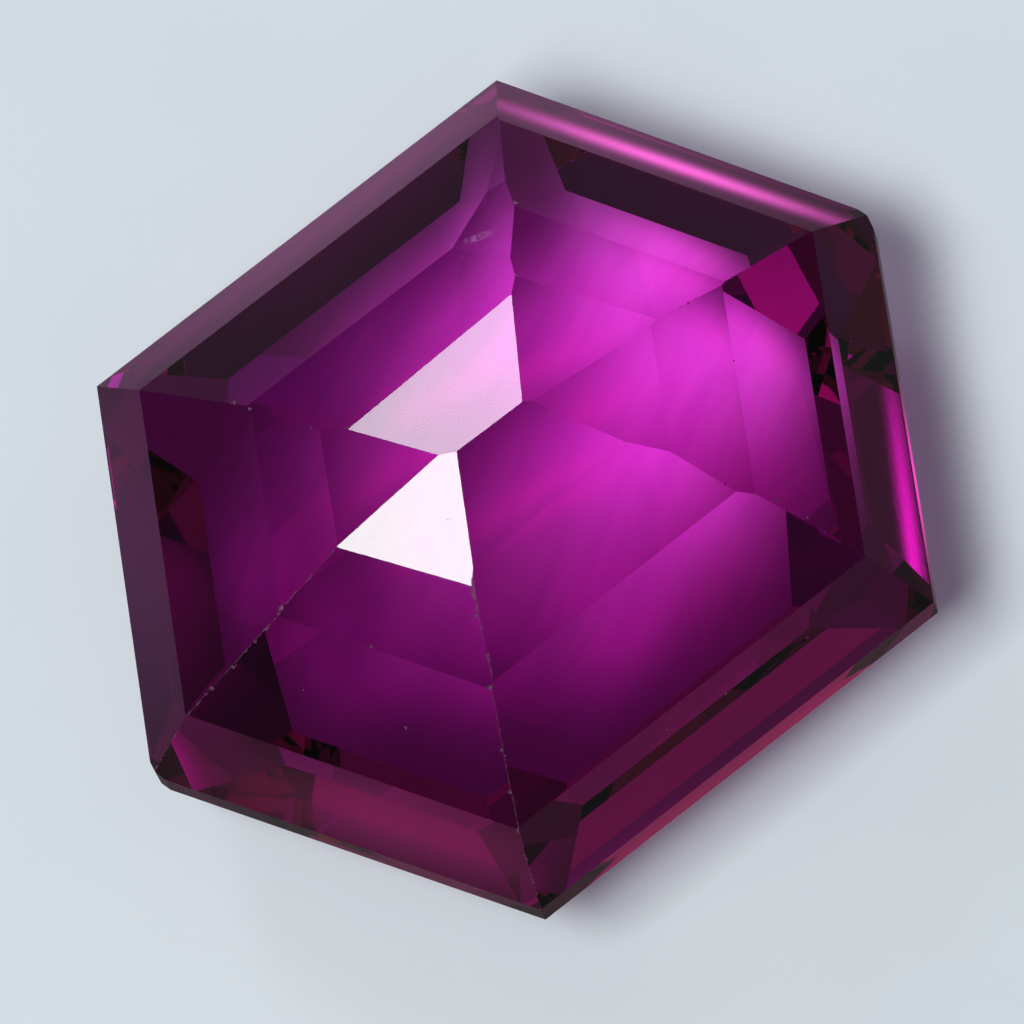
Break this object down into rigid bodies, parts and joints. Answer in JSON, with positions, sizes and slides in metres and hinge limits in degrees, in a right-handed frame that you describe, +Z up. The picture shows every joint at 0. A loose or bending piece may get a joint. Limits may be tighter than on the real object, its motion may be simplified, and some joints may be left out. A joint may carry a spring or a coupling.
{
  "type": "faceted sapphire",
  "caption": "Hexagonal step-cut sapphire, pink purple and see-through, lying on its table with the stepped pavilion and keel-shaped culet upwards.",
  "frame": {"origin": "centre of the outline's box, on the plane of the table facet that the stone lies on", "axes": "+X along the longer corner-to-corner diagonal of the outline, +Z up from the table to the culet"},
  "size_m": [0.0091, 0.007, 0.0041],
  "materials": {
    "corundum": "polished crystal, see-through pink purple with light wear on the facet edges"
  },
  "bodies": {
    "root": {"sapphire": "corundum"}
  },
  "joints": []
}
